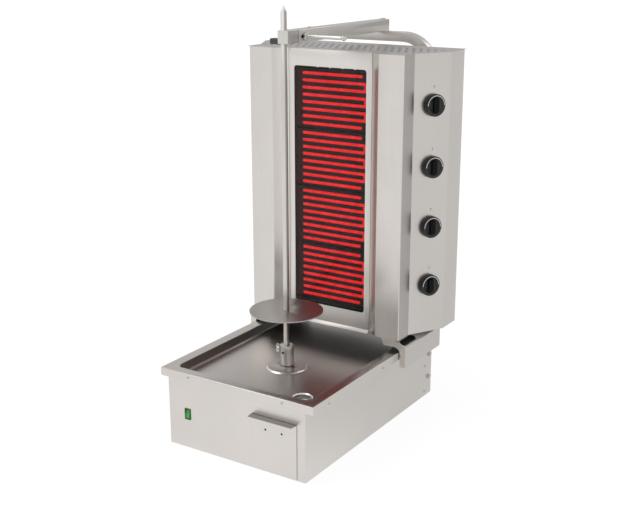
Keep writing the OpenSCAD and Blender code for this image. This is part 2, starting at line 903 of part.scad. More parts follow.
module casing() {
    path = concat(
        [[panel_w / 2, panel_y + return_flange]], plan,
        [[wing_x - return_flange, rear_y]]);
    difference() {
        translate([0, 0, tower_z]) linear_extrude(tower_h - tower_t - eps)
            strip(path, tower_t);
        children();
    }
}

module knob_axis(i) {
    z = mid_z + (1.5 - i) * knob_pitch;
    translate([knob_at[0], knob_at[1], z]) rotate([0, 0, face_angle])
        rotate([0, 90, 0]) children();
}

module casing_right() {
    color(steel) casing() for (i = [0 : 3])
        knob_axis(i) translate([0, 0, -5]) cylinder(h = 10, r = 5 + gap);
}

module casing_left() {
    color(steel) mirror([1, 0, 0]) casing();
}

panel_gap = 0.4;
panel_lip = 8;

module front_panel() {
    w = panel_w - 2 * panel_gap;
    fold = 12;
    slant = tower_t / sqrt(2);
    color(steel) difference() {
        union() {
            translate([-w / 2, panel_y, tower_z]) cube([w, tower_t, tower_h - tower_t - eps]);
            for (s = [-1, 1]) translate([s * (w - tower_t) / 2, panel_y + fold / 2, mid_z])
                cube([tower_t, fold, tower_h - 2 * tower_t - 2 * eps], center = true);
            along_x(-w / 2, w) polygon([
                [panel_y, tower_z + 1], [panel_y, tower_z],
                [panel_y - panel_lip, tower_z - panel_lip],
                [panel_y - panel_lip + slant, tower_z - panel_lip - slant],
                [panel_y + tower_t, tower_z - 2 * slant + tower_t], [panel_y + tower_t, tower_z + 1]
            ]);
        }
        translate([0, panel_y - 1, mid_z]) rotate([-90, 0, 0]) linear_extrude(6)
            round_plate(glass_w + 2 * panel_gap, glass_h + 2 * panel_gap, 8);
    }
}

module ceramic_glass() {
    color([0.1, 0.09, 0.09, 0.9]) translate([0, panel_y, mid_z])
        rotate([-90, 0, 0]) linear_extrude(glass_t) round_plate(glass_w, glass_h, 8);
}

frame_in = panel_y + glass_t;
ribbon_t = 2;
ribbon_y = frame_in + 1.7;
tray_y = ribbon_y + ribbon_t;
tray_d = 24;
frame_back = tray_y + tray_d;
tray_w = glass_w - 4;
frame_w = tray_w + 2;
frame_edge = 6;
zone_pitch = (glass_h - 2 * frame_edge - 2 * 2.4) / 4;

// the pan that holds the heaters and clamps the glass from behind
module heater_frame() {
    x = frame_w / 2 + tower_t;
    z = glass_h / 2 - frame_edge;
    edge = (panel_w - 2 * panel_gap) / 2 - tower_t - eps;
    color(dark_steel) translate([0, 0, mid_z]) difference() {
        union() {
            block([-x, frame_in, -z], [x, frame_back + tower_t, z]);
            block([-edge, frame_in, -z], [edge, frame_in + tower_t, z]);
        }
        block([-frame_w / 2, frame_in - 1, -z + tower_t],
              [frame_w / 2, frame_back, z - tower_t]);
    }
}

zone_shift = 3;
function zone_z(i) = mid_z + zone_shift + (1.5 - i) * zone_pitch;

module heater_tray(i) {
    h = zone_pitch - 5;
    color("#d9d2c4") translate([-tray_w / 2, tray_y, zone_z(i) - h / 2])
        cube([tray_w, tray_d, h]);
}

// eight bars of ribbon, the inner ones joined in pairs on the right
module heater_ribbon(i) {
    left = -94;
    right = 102;
    reach = 12;
    bars = 8;
    top = (bars - 1) / 2 * ribbon_pitch;
    color("#e8262c") translate([0, 0, zone_z(i)]) along_y(ribbon_y, ribbon_t) {
        for (k = [0 : bars - 1]) {
            ends = k == 0 || k == bars - 1;
            translate([left, top - k * ribbon_pitch - ribbon_w / 2])
                square([right - left + (ends ? 0 : reach), ribbon_w]);
        }
        for (k = [1 : 2 : bars - 3])
            translate([right + reach - ribbon_w * 0.6, top - (k + 1) * ribbon_pitch - ribbon_w / 2])
                square([ribbon_w * 0.6, ribbon_pitch + ribbon_w]);
    }
}

module back_cover() {
    x = wing_x - tower_t - eps;
    slots = 9;
    color(steel) difference() {
        block([-x, rear_y - 2 * tower_t - eps, tower_z + tower_t + eps],
              [x, rear_y - tower_t - eps, top_z - tower_t - eps]);
        for (r = [0, 1], k = [0 : slots - 1])
            translate([(k - (slots - 1) / 2) * 44, rear_y - 10,
                       r == 0 ? tower_z + 50 : top_z - 110])
                linear_extrude(60) translate([-3, 0]) square([6, 20]);
    }
}

module plan_outline(grow) {
    polygon(around(concat(plan, backwards(reversed_x(plan))), -grow));
}

module top_grille() {
    pitch = 22;
    hole_r = 5;
    rows = [0 : 5];
    first_y = panel_y + 34;
    color(dark_steel) translate([0, 0, top_z - tower_t]) linear_extrude(tower_t) difference() {
        plan_outline(3);
        for (r = rows, k = [-12 : 12])
            let (x = (k + (r % 2) / 2) * pitch, y = first_y + r * pitch)
            if (abs(x) < column_x - 8 + max(0, (y - fold_y) * wing_out / wing_d - 16))
                translate([x, y]) circle(hole_r);
    }
}

module tower_floor() {
    inset = tower_t + eps;
    color(dark_steel) translate([0, 0, tower_z]) linear_extrude(tower_t) difference() {
        plan_outline(-inset);
        translate([-panel_w / 2 - inset, panel_y - 1])
            square([panel_w + 2 * inset, return_flange + 1 + eps]);
        for (s = [-1, 1], y = bolt_y) translate([s * bolt_x, y]) circle(3 + gap);
        translate([0, rear_y - 40]) circle(10);
    }
}

module terminal_block() {
    poles = 5;
    color("#e6e2d8") translate([-100, rear_y - 60, tower_z + tower_t]) {
        cube([poles * 12, 22, 20]);
        for (k = [0 : poles - 1]) translate([k * 12 + 6, 11, 19]) cylinder(h = 4, r = 4);
    }
}

module regulator(i) {
    body = 40;
    color("#40474d") knob_axis(i) difference() {
        union() {
            translate([-body / 2, -body / 2, -tower_t - 4 - 34]) cube([body, body, 34]);
            translate([0, 0, -tower_t - 5]) cylinder(h = tower_t + 5, r = 5);
        }
        translate([0, 0, -30]) cylinder(h = 40, r = 3 + lock_fit);
    }
}

// knob with its grip bar and the turning shaft of the regulator
module knob(i) {
    body = knob_h - 3;
    color(black) knob_axis(i) {
        translate([0, 0, gap]) cylinder(h = body - gap, r1 = knob_d / 2, r2 = knob_d / 2 - 1.5);
        translate([-knob_d * 0.3, -knob_d * 0.135, body - 1])
            cube([knob_d * 0.6, knob_d * 0.27, knob_h - body + 1]);
        translate([0, 0, -25]) cylinder(h = 26, r = 3);
    }
}

// ---- parts ---------------------------------------------------------------

base_housing();
base_floor();
rear_cover();
cover_screws();
drip_tray();
rim_screws();
spit_flange();
drain_strainer();
drawer_front();
fat_pan();
drawer_rails();
motor_bracket();
gearbox();
motor();
drive_shaft();
spit_socket();
socket_screw();
spit_bar();
meat_disc();
disc_screw();
switch_body();
switch_rocker();
supply_gland();
mast_bracket();
mast_bolts();
spit_mast();
arm_channel();
arm_screws();
spit_holder();
holder_grip();
lock_rod();
saddle_left();
saddle_right();
slide_pads();
saddle_bolts();
casing_left();
casing_right();
front_panel();
ceramic_glass();
heater_frame();
heater_tray(0);  // heater_tray_1
heater_tray(1);  // heater_tray_2
heater_tray(2);  // heater_tray_3
heater_tray(3);  // heater_tray_4
heater_ribbon(0);  // heater_ribbon_1
heater_ribbon(1);  // heater_ribbon_2
heater_ribbon(2);  // heater_ribbon_3
heater_ribbon(3);  // heater_ribbon_4
back_cover();
top_grille();
tower_floor();
terminal_block();
regulator(0);  // regulator_1
regulator(1);  // regulator_2
regulator(2);  // regulator_3
regulator(3);  // regulator_4
knob(0);  // knob_1
knob(1);  // knob_2
knob(2);  // knob_3
knob(3);  // knob_4
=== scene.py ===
import json
from math import cos, hypot, pi, radians, sin

import bmesh
import bpy
from mathutils import Matrix, Vector


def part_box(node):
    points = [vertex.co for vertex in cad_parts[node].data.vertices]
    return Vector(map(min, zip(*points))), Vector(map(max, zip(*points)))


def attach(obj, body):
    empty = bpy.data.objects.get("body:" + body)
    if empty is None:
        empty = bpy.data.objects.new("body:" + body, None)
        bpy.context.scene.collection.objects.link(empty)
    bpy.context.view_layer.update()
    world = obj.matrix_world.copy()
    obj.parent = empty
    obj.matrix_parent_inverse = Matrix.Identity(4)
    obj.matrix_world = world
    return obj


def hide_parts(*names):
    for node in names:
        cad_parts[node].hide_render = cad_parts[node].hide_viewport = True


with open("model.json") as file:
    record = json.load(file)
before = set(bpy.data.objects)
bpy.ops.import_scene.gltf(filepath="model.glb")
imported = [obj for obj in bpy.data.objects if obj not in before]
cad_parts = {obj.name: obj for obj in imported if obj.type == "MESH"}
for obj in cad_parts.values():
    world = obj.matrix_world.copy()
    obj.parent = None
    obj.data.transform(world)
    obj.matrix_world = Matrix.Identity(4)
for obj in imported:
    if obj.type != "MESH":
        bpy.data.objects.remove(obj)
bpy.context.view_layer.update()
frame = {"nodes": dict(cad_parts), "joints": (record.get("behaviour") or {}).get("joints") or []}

for spare in ("Cube", "Light", "Camera"):
    if spare in bpy.data.objects:
        bpy.data.objects.remove(bpy.data.objects[spare])

# ---- sizes, in metres; those of the CAD nodes are read from the frame ------

TRAY_LOW, TRAY_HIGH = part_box("drip_tray")
CASING_LOW, CASING_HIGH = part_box("casing_right")

BASE_FRONT, BASE_REAR = (corner.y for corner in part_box("base_housing"))
BASE_HALF = 0.225
RIM_Z = TRAY_HIGH.z
RIM_HALF = TRAY_HIGH.x
LIP_DROP = 0.022
TRAY_SHEET = 0.0015
FLOOR_Z = TRAY_LOW.z + TRAY_SHEET
RECESS_FRONT = -0.218
RECESS_REAR = 0.422
RECESS_HALF = 0.2165
DRAIN = (0.155, -0.155)
LIP_SCREW_DROP = {"front": 0.010, "side": 0.016}
FRONT_SCREW_X = 0.1543
SIDE_SCREW_Y = (BASE_FRONT + 0.073, BASE_FRONT + 0.356, BASE_FRONT + 0.433, BASE_REAR - 0.050)
COVER_SCREW_Y = BASE_REAR - 0.041
COVER_SCREW_Z = (0.015, 0.098)
DRAWER_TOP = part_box("drawer_front")[1].z

SOCKET_HOLE_Z = 0.237
ARM_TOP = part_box("arm_channel")[1].z
HOLDER_BLOCK_REAR = 0.0400

TOWER_LOW = CASING_LOW.z
TOWER_FRONT = CASING_LOW.y
TOWER_REAR = CASING_HIGH.y
CASING_SHEET = 0.0012
GLASS_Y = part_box("ceramic_glass")[0].y
COLUMN_X = 0.251
COLUMN_W = 0.0765
FOLD_Y = 0.2505
KNOB_FACE_DEPTH = 0.1055
RETURN_FLANGE = 0.014
SADDLE_FOLD_Z = 0.235
SADDLE_SLIT = 0.0016     # how far the top of a saddle stays below the columns
KNOBS = [joint for joint in frame["joints"] if joint["name"].startswith("knob_")]

FOLD_R = 0.0022          # outer radius of a fold in the sheets


# ---- selecting and editing --------------------------------------------------

def activate(piece):
    bpy.ops.object.select_all(action="DESELECT")
    piece.select_set(True)
    bpy.context.view_layer.objects.active = piece


def choose(piece, kind, test):
    """Enter edit mode with only the edges or faces that pass a test; False if none does."""
    activate(piece)
    bpy.ops.object.mode_set(mode="EDIT")
    bpy.ops.mesh.select_mode(type=kind)
    bpy.ops.mesh.select_all(action="DESELECT")
    shape = bmesh.from_edit_mesh(piece.data)
    chosen = [item for item in {"EDGE": shape.edges, "FACE": shape.faces}[kind] if test(item)]
    for item in chosen:
        item.select_set(True)
    bmesh.update_edit_mesh(piece.data)
    return bool(chosen)


def leave():
    bpy.ops.object.mode_set(mode="OBJECT")


def near(a, b, slack=0.0002):
    return abs(a - b) < slack


def runs_along(edge, axis, least=0.0):
    way = edge.verts[1].co - edge.verts[0].co
    return way.length > least and abs(way.normalized()["xyz".index(axis)]) > 0.999


def middle(edge):
    return (edge.verts[0].co + edge.verts[1].co) / 2


def lies_at(edge, height):
    return near(edge.verts[0].co.z, height) and near(edge.verts[1].co.z, height)


def folded(edge, least):
    """Whether two faces meet at the edge and turn by more than an angle in radians."""
    return len(edge.link_faces) == 2 and edge.calc_face_angle(0) > least


def apply_modifier(piece, kind, name, **values):
    modifier = piece.modifiers.new(name, kind)
    for key, value in values.items():
        setattr(modifier, key, value)
    activate(piece)
    bpy.ops.object.modifier_apply(modifier=modifier.name)


def break_edges(piece, width, segments=2, angle=38):
    apply_modifier(piece, "BEVEL", "broken edges", width=width, segments=segments,
                   limit_method="ANGLE", angle_limit=radians(angle), use_clamp_overlap=True,
                   harden_normals=False, miter_outer="MITER_SHARP")


def thicken(piece, thickness):
    apply_modifier(piece, "SOLIDIFY", "thickness", thickness=thickness, offset=-1,
                   use_even_offset=True)


def smooth(piece, angle=32):
    activate(piece)
    bpy.ops.object.shade_smooth_by_angle(angle=radians(angle))


def bend_edges(piece, radius, segments, test):
    """Round the chosen folds with a bend radius."""
    if choose(piece, "EDGE", test):
        bpy.ops.mesh.bevel(offset=radius, segments=segments, affect="EDGES")
    leave()


def extrude(piece, kind, test, shift):
    """Pull the chosen edges or faces out by a vector."""
    choose(piece, kind, test)
    bpy.ops.mesh.extrude_region_move(TRANSFORM_OT_translate={"value": shift})
    leave()


def settle(piece):
    """Put the place of a piece into its mesh."""
    activate(piece)
    bpy.ops.object.transform_apply(location=True, rotation=True, scale=True)


def fuse(pieces, name):
    activate(pieces[0])
    for piece in pieces[1:]:
        piece.select_set(True)
    bpy.ops.object.join()
    pieces[0].name = name
    pieces[0].data.name = name
    return pieces[0]


def cut_with(piece, cutter):
    apply_modifier(piece, "BOOLEAN", "cut", object=cutter, operation="DIFFERENCE", solver="EXACT")
    bpy.data.objects.remove(cutter)


def drill(piece, place, radius, depth, axis="Z", corners=32):
    """A round cutter taken out of a piece."""
    turn = {"Z": (0, 0, 0), "Y": (pi / 2, 0, 0)}[axis]
    bpy.ops.mesh.primitive_cylinder_add(vertices=corners, radius=radius, depth=depth,
                                        location=place, rotation=turn)
    cut_with(piece, bpy.context.object)


def box_piece(name, low, high):
    low, high = Vector(low), Vector(high)
    bpy.ops.mesh.primitive_cube_add(size=1, location=(low + high) / 2)
    piece = bpy.context.object
    piece.name = name
    piece.scale = high - low
    settle(piece)
    return piece


def turned(name, profile, corners=64, closed=False):
    """A piece as from a lathe: rings of (radius, height) drawn out of a circle, about Z."""
    bpy.ops.mesh.primitive_circle_add(vertices=corners, radius=profile[0][0],
                                      location=(0, 0, profile[0][1]))
    piece = bpy.context.object
    piece.name = name
    settle(piece)
    bpy.ops.object.mode_set(mode="EDIT")
    bpy.ops.mesh.select_all(action="SELECT")
    if not closed:
        bpy.ops.mesh.edge_face_add()
    bpy.ops.mesh.select_mode(type="EDGE" if closed else "FACE")
    bpy.ops.mesh.select_all(action="SELECT")
    before = profile[0]
    for radius, height in profile[1:]:
        bpy.ops.mesh.extrude_region_move(
            TRANSFORM_OT_translate={"value": (0, 0, height - before[1])})
        ratio = radius / before[0]
        if abs(ratio - 1) > 1e-9:
            bpy.ops.transform.resize(value=(ratio, ratio, 1), center_override=(0, 0, height))
        before = (radius, height)
    bpy.ops.mesh.select_all(action="SELECT")
    bpy.ops.mesh.remove_doubles(threshold=1e-6)
    bpy.ops.mesh.normals_make_consistent(inside=False)
    leave()
    return piece


def over_floor(*rings):
    """A closed profile whose heights are given over the tray's floor."""
    profile = [(radius, FLOOR_Z + height) for radius, height in rings]
    return profile + profile[:1]


def stand(piece, place, normal=(0, 0, 1), roll=0.0):
    """Turn a piece made about Z so that its top looks along normal, and put it in place."""
    turn = Vector(normal).normalized().to_track_quat("Z", "Y").to_matrix().to_4x4()
    piece.matrix_world = Matrix.Translation(Vector(place)) @ turn @ Matrix.Rotation(roll, 4, "Z")
    settle(piece)
    return piece


def bent_sheet(name, path, run, thickness, bend, segments=4):
    """Sheet folded step by step along a path, with its thickness on the left of the path.

    path holds the corners at one end, run is the vector to the other end."""
    run = Vector(run)
    path = [Vector(p) for p in path]
    bpy.ops.mesh.primitive_plane_add(size=1)
    piece = bpy.context.object
    piece.name = name
    corners = piece.data.polygons[0].vertices
    for index, place in zip(corners, (path[0], path[1], path[1] + run, path[0] + run)):
        piece.data.vertices[index].co = place
    folds = [p + run / 2 for p in path[1:-1]]
    for fold, here, there in zip(folds, path[1:], path[2:]):
        extrude(piece, "EDGE", lambda e: (middle(e) - fold).length < 1e-6, there - here)
    bend_edges(piece, bend, segments,
               lambda e: any((middle(e) - fold).length < 1e-6 for fold in folds))
    thicken(piece, thickness)
    break_edges(piece, 0.00025, 1, 60)
    smooth(piece)
    return piece


def reworked(node, name, width=0, segments=2, angle=38):
    """A merged copy of a CAD node, with its edges broken where a width is given."""
    piece = bpy.data.objects.new(name, frame["nodes"][node].data.copy())
    bpy.context.scene.collection.objects.link(piece)
    piece.data.materials.clear()
    activate(piece)
    if piece.data.has_custom_normals:
        bpy.ops.mesh.customdata_custom_splitnormals_clear()
    bpy.ops.object.mode_set(mode="EDIT")
    bpy.ops.mesh.select_mode(type="VERT")
    bpy.ops.mesh.select_all(action="SELECT")
    bpy.ops.mesh.remove_doubles(threshold=2e-6)
    bpy.ops.mesh.dissolve_limited(angle_limit=radians(0.4))
    leave()
    if width:
        break_edges(piece, width, segments, angle)
    smooth(piece)
    return piece


def dress(piece, material, body, nodes=()):
    """Give a piece its finish, its body and the CAD nodes that it stands for."""
    if not piece.data.materials:
        piece.data.materials.append(material)
    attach(piece, body)
    if nodes:
        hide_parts(*nodes)
    return piece


def rounded(node, name, width, segments, material, body, angle=38):
    """A CAD node with its edges broken, in its finish."""
    return dress(reworked(node, name, width, segments, angle), material, body, [node])


def finish_faces(piece, main, *others):
    """A main finish and further (finish, test of a face) pairs, of which a later one wins."""
    piece.data.materials.append(main)
    for index, (material, test) in enumerate(others, 1):
        piece.data.materials.append(material)
        for side in piece.data.polygons:
            if test(side):
                side.material_index = index


# ---- shader nodes --------------------------------------------------------------

def add_node(tree, kind, values=None, **options):
    """A new shader node with its options, and the values of its inputs by name."""
    node = tree.nodes.new("ShaderNode" + kind)
    for option, choice in options.items():
        setattr(node, option, choice)
    for label, value in (values or {}).items():
        node.inputs[label].default_value = value
    return node


def maths(tree, operation, first, second):
    """The result of a sum on two numbers or sockets."""
    node = add_node(tree, "Math", operation=operation)
    for socket, value in zip(node.inputs, (first, second)):
        if isinstance(value, (int, float)):
            socket.default_value = value
        else:
            tree.links.new(value, socket)
    return node.outputs[0]


def noise(tree, place, **values):
    node = add_node(tree, "TexNoise", values)
    tree.links.new(place, node.inputs["Vector"])
    return node.outputs["Fac"]


def mapped(tree, value, limits, **options):
    """A value mapped from one range to another."""
    node = add_node(tree, "MapRange", limits, **options)
    tree.links.new(value, node.inputs["Value"])
    return node.outputs["Result"]


def vector_maths(tree, operation, first, second=None):
    """The node of a vector sum; second is a fixed vector."""
    node = add_node(tree, "VectorMath", operation=operation)
    tree.links.new(first, node.inputs[0])
    if second:
        node.inputs[1].default_value = second
    return node


def object_place(tree):
    return add_node(tree, "TexCoord").outputs["Object"]


def roughen(tree, shader, height, strength, distance):
    """A relief too fine for the mesh."""
    relief = add_node(tree, "Bump", {"Strength": strength, "Distance": distance})
    tree.links.new(height, relief.inputs["Height"])
    tree.links.new(relief.outputs["Normal"], shader.inputs["Normal"])


def new_material(name):
    material = bpy.data.materials.new(name)
    material.use_nodes = True
    return material, material.node_tree, material.node_tree.nodes["Principled BSDF"]


# ---- finishes ----------------------------------------------------------------

def make_brushed_group():
    """Grain lines, cloudy handling marks and small dents of sheet metal."""
    group = bpy.data.node_groups.new("brushed sheet", "ShaderNodeTree")
    for label, kind, value in (
            ("Place", "NodeSocketVector", None),
            ("Cloud Place", "NodeSocketVector", None),
            ("Colour", "NodeSocketColor", (0.66, 0.63, 0.59, 1)),
            ("Grain", "NodeSocketFloat", 0.05),
            ("Cloud", "NodeSocketFloat", 0.06),
            ("Roughness", "NodeSocketFloat", 0.3)):
        socket = group.interface.new_socket(label, in_out="INPUT", socket_type=kind)
        if value is not None:
            socket.default_value = value
    for label, kind in (("Colour", "NodeSocketColor"), ("Roughness", "NodeSocketFloat"),
                        ("Height", "NodeSocketFloat")):
        group.interface.new_socket(label, in_out="OUTPUT", socket_type=kind)
    source = group.nodes.new("NodeGroupInput").outputs
    sink = group.nodes.new("NodeGroupOutput").inputs
    grain = noise(group, source["Place"], Scale=1.0, Detail=3.0)
    cloud = noise(group, source["Cloud Place"], Scale=5.0, Detail=4.0, Roughness=0.62)
    grain_off = maths(group, "SUBTRACT", grain, 0.5)
    cloud_off = maths(group, "SUBTRACT", cloud, 0.5)
    tone = maths(group, "ADD", maths(group, "MULTIPLY", grain_off, source["Grain"]),
                 maths(group, "MULTIPLY", cloud_off, source["Cloud"]))
    tint = vector_maths(group, "SCALE", source["Colour"])
    group.links.new(maths(group, "ADD", tone, 1.0), tint.inputs["Scale"])
    group.links.new(tint.outputs[0], sink["Colour"])
    group.links.new(maths(group, "ADD", source["Roughness"],
                          maths(group, "MULTIPLY", tone, -1.2)), sink["Roughness"])
    group.links.new(maths(group, "MULTIPLY", grain, source["Grain"]), sink["Height"])
    return group


BRUSHED = make_brushed_group()
ALONG_GRAIN, ACROSS_GRAIN = 9, 620


def steel(name, colour, grain_way, roughness=0.3, grain=0.08, cloud=0.1, metallic=1.0, bump=0.12):
    """Brushed sheet whose grain runs along one axis."""
    material, tree, shader = new_material(name)
    place = object_place(tree)
    stretch = add_node(tree, "Mapping", {
        "Scale": [ALONG_GRAIN if axis == grain_way else ACROSS_GRAIN for axis in "xyz"]})
    tree.links.new(place, stretch.inputs["Vector"])
    finish = add_node(tree, "Group", node_tree=BRUSHED)
    for label, value in (("Colour", (*colour, 1)), ("Grain", grain), ("Cloud", cloud),
                         ("Roughness", roughness)):
        finish.inputs[label].default_value = value
    tree.links.new(stretch.outputs["Vector"], finish.inputs["Place"])
    tree.links.new(place, finish.inputs["Cloud Place"])
    tree.links.new(finish.outputs["Colour"], shader.inputs["Base Color"])
    tree.links.new(finish.outputs["Roughness"], shader.inputs["Roughness"])
    roughen(tree, shader, finish.outputs["Height"], bump, 0.0004)
    shader.inputs["Metallic"].default_value = metallic
    return material


def moulded(name, colour, roughness=0.42, speckle=0.05, scale=900, coat=0.0, gloss=0.5):
    """Moulded plastic, paint or board with a fine skin."""
    material, tree, shader = new_material(name)
    skin = noise(tree, object_place(tree), Scale=scale, Detail=2.0)
    level = mapped(tree, skin, {"To Min": 1 - speckle, "To Max": 1 + speckle})
    tint = add_node(tree, "VectorMath", {0: colour}, operation="SCALE")
    tree.links.new(level, tint.inputs["Scale"])
    tree.links.new(tint.outputs[0], shader.inputs["Base Color"])
    tree.links.new(maths(tree, "MULTIPLY", level, roughness), shader.inputs["Roughness"])
    roughen(tree, shader, skin, 0.15, 0.0002)
    shader.inputs["Coat Weight"].default_value = coat
    shader.inputs["Specular IOR Level"].default_value = gloss
    return material


def shade(material, axis, start, end, colour):
    """Let the colour run over into another colour along one axis: painted shade on the panel and
    tray, a painted highlight on the switch rocker, a redder left edge on the heater board and
    frame.
    """
    tree = material.node_tree
    base = tree.nodes["Principled BSDF"].inputs["Base Color"]
    split = add_node(tree, "SeparateXYZ")
    tree.links.new(object_place(tree), split.inputs[0])
    share = mapped(tree, split.outputs[axis], {"From Min": start, "From Max": end},
                   interpolation_type="SMOOTHSTEP")
    mix = add_node(tree, "Mix", {7: (*colour, 1)}, data_type="RGBA")
    tree.links.new(share, mix.inputs[0])
    tree.links.new(base.links[0].from_socket, mix.inputs[6])
    tree.links.new(mix.outputs[2], base)


STEEL = (0.690, 0.655, 0.620)
# a darker steel colour, used for painted shade
SHADED_STEEL = (0.50, 0.475, 0.455)

tower_steel = steel("tower sheet, upright grain", STEEL, "z")
# painted shade: the side faces of the columns are made darker than their fronts
shaded_side_steel = steel("column side sheet, painted shade", SHADED_STEEL, "z", roughness=0.34)
panel_steel = steel("front panel sheet, shade painted low", (0.72, 0.69, 0.655), "z", roughness=0.33)
# painted shade: the panel darkens towards its lower edge
shade(panel_steel, "Z", 0.36, 0.262, SHADED_STEEL)
base_steel = steel("base sheet, level grain", STEEL, "x", roughness=0.34)
side_steel = steel("saddle sheet", (0.66, 0.63, 0.60), "y", roughness=0.34)
tray_steel = steel("tray sheet", (0.66, 0.62, 0.595), "y", roughness=0.30, grain=0.04,
                   cloud=0.06, bump=0.012)
# painted shade: the tray sheet, and the collar and drain ring that share it, darken towards +X
shade(tray_steel, "X", -0.17, 0.07, (0.41, 0.385, 0.37))
# painted highlight: near-white steel on the slanted faces of the collar and drain ring
highlight_steel = steel("pressed edges, painted highlight", (0.90, 0.88, 0.85), "y", roughness=0.27, grain=0.03,
                   cloud=0.05, bump=0.03)
lip_steel = steel("tray lip", STEEL, "x", roughness=0.34)
# painted shade: the walls of the tray's recess are given a dark steel
shaded_wall_steel = steel("recess walls, painted shade", (0.22, 0.212, 0.20), "y", roughness=0.34, bump=0.02)
disc_steel = steel("disc sheet", (0.42, 0.405, 0.39), "x", roughness=0.34, cloud=0.12)
bar_steel = steel("drawn bar", (0.66, 0.64, 0.61), "z", grain=0.12)
# painted shade: the +X faces of the bars are given a darker copy of the bar steel
shaded_bar_side = steel("drawn bar, right side, painted shade", (0.46, 0.445, 0.425), "z", grain=0.12)
arm_steel = steel("arm sheet", (0.60, 0.575, 0.55), "y", roughness=0.33)
# painted shade: the top of the drawer's handle lip is made dark
shaded_lip_steel = steel("handle lip", (0.27, 0.26, 0.25), "x", roughness=0.36)
inner_steel = steel("inner sheet", (0.50, 0.485, 0.465), "x", roughness=0.42)
# painted shadow: near-black steel for the under sides of the saddles, the tower floor, the
# socket's cross hole and the back of the holder
shade_steel = steel("under sides and holes, painted shadow", (0.10, 0.098, 0.092), "x", roughness=0.6)
# painted shade: a matt grey on the slanted web tops of the saddles, in place of the steel's
# mirror look
painted_web_shade = steel("saddle web tops, painted shade", (0.46, 0.45, 0.43), "y", roughness=0.5, metallic=0.0)
bright_steel = steel("turned screws", (0.60, 0.58, 0.56), "z", roughness=0.22, grain=0.1)
grille_steel = steel("top sheet", (0.46, 0.445, 0.43), "x")

# a greyer black than the other plastics, for the holder's grip
grip_grey = moulded("grey grip", (0.045, 0.044, 0.043), 0.5, 0.15)
black_plastic = moulded("black moulded plastic", (0.0055, 0.0055, 0.0055), 0.34, 0.12, gloss=0.32)
# painted light and shade: the dial face is made lighter and the grip bar darker than the black
# plastic of the knob's sides
lit_dial_plastic = moulded("dial face, painted lighter", (0.012, 0.012, 0.012), 0.5, 0.12)
shaded_grip_plastic = moulded("grip bar", (0.0035, 0.0035, 0.0035), 0.5, 0.12, gloss=0.10)
green_plastic = moulded("green rocker, highlight painted on the right", (0.012, 0.17, 0.026), 0.25, 0.10, coat=0.3)
# painted highlight: the rocker turns brighter green towards its right side
shade(green_plastic, "X", -0.1625, -0.1590, (0.020, 0.36, 0.032))
dark_green = moulded("dark green frame", (0.010, 0.115, 0.022), 0.35, 0.08)
guide_plastic = moulded("dark guide plastic", (0.02, 0.02, 0.02), 0.5)
motor_paint = moulded("motor enamel", (0.03, 0.033, 0.036), 0.35, 0.08, 300)
casting = moulded("rough casting", (0.16, 0.165, 0.17), 0.6, 0.2, 500)
board = moulded("heater board", (0.040, 0.0095, 0.008), 0.8, 0.08, 240)
shade(board, "X", -0.1050, -0.1070, (0.085, 0.008, 0.008))
frame_board = moulded("heater frame", (0.050, 0.040, 0.038), 0.8, 0.08, 240)
shade(frame_board, "X", -0.090, -0.092, (0.115, 0.034, 0.034))
terminal = moulded("terminal plastic", (0.72, 0.70, 0.64), 0.5)
regulator_body = moulded("regulator housing", (0.05, 0.055, 0.06), 0.5)
print_grey = moulded("printed grey", (0.62, 0.62, 0.60), 0.5, 0.04)


def make_glow():
    """A ribbon that looks brighter than the light that it throws on the steel."""
    thrown = 0.36
    material, tree, shader = new_material("glowing ribbon")
    ramp = add_node(tree, "ValToRGB")
    for stop, position, colour in zip(ramp.color_ramp.elements, (0.3, 0.7),
                                      ((0.80, 0.006, 0.009, 1), (0.98, 0.018, 0.024, 1))):
        stop.position = position
        stop.color = colour
    tree.links.new(noise(tree, object_place(tree), Scale=60), ramp.inputs["Fac"])
    seen = add_node(tree, "LightPath").outputs["Is Camera Ray"]
    faded = vector_maths(tree, "SCALE", ramp.outputs["Color"])
    tree.links.new(maths(tree, "ADD", thrown, maths(tree, "MULTIPLY", seen, 1 - thrown)),
                   faded.inputs["Scale"])
    tree.links.new(faded.outputs[0], shader.inputs["Emission Color"])
    tree.links.new(ramp.outputs["Color"], shader.inputs["Base Color"])
    shader.inputs["Emission Strength"].default_value = 0.86
    shader.inputs["Roughness"].default_value = 0.6
    return material


def make_glass():
    material, tree, shader = new_material("tinted ceramic glass")
    smear = noise(tree, object_place(tree), Scale=14, Detail=5)
    tree.links.new(mapped(tree, smear, {"To Min": 0.05, "To Max": 0.11}),
                   shader.inputs["Roughness"])
    shader.inputs["Base Color"].default_value = (0.008, 0.008, 0.008, 1)
    shader.inputs["Alpha"].default_value = 0.22
    return material


glow = make_glow()
glass = make_glass()


# ---- base ----------------------------------------------------------------------

def make_housing():
    piece = reworked("base_housing", "housing_sheet")
    bend_edges(piece, FOLD_R, 4,
               lambda e: runs_along(e, "z", 0.1) and near(middle(e).y, BASE_FRONT)
               and near(abs(middle(e).x), BASE_HALF))
    break_edges(piece, 0.0004, 1, 50)
    smooth(piece)
    dress(piece, base_steel, "base", ["base_housing"])


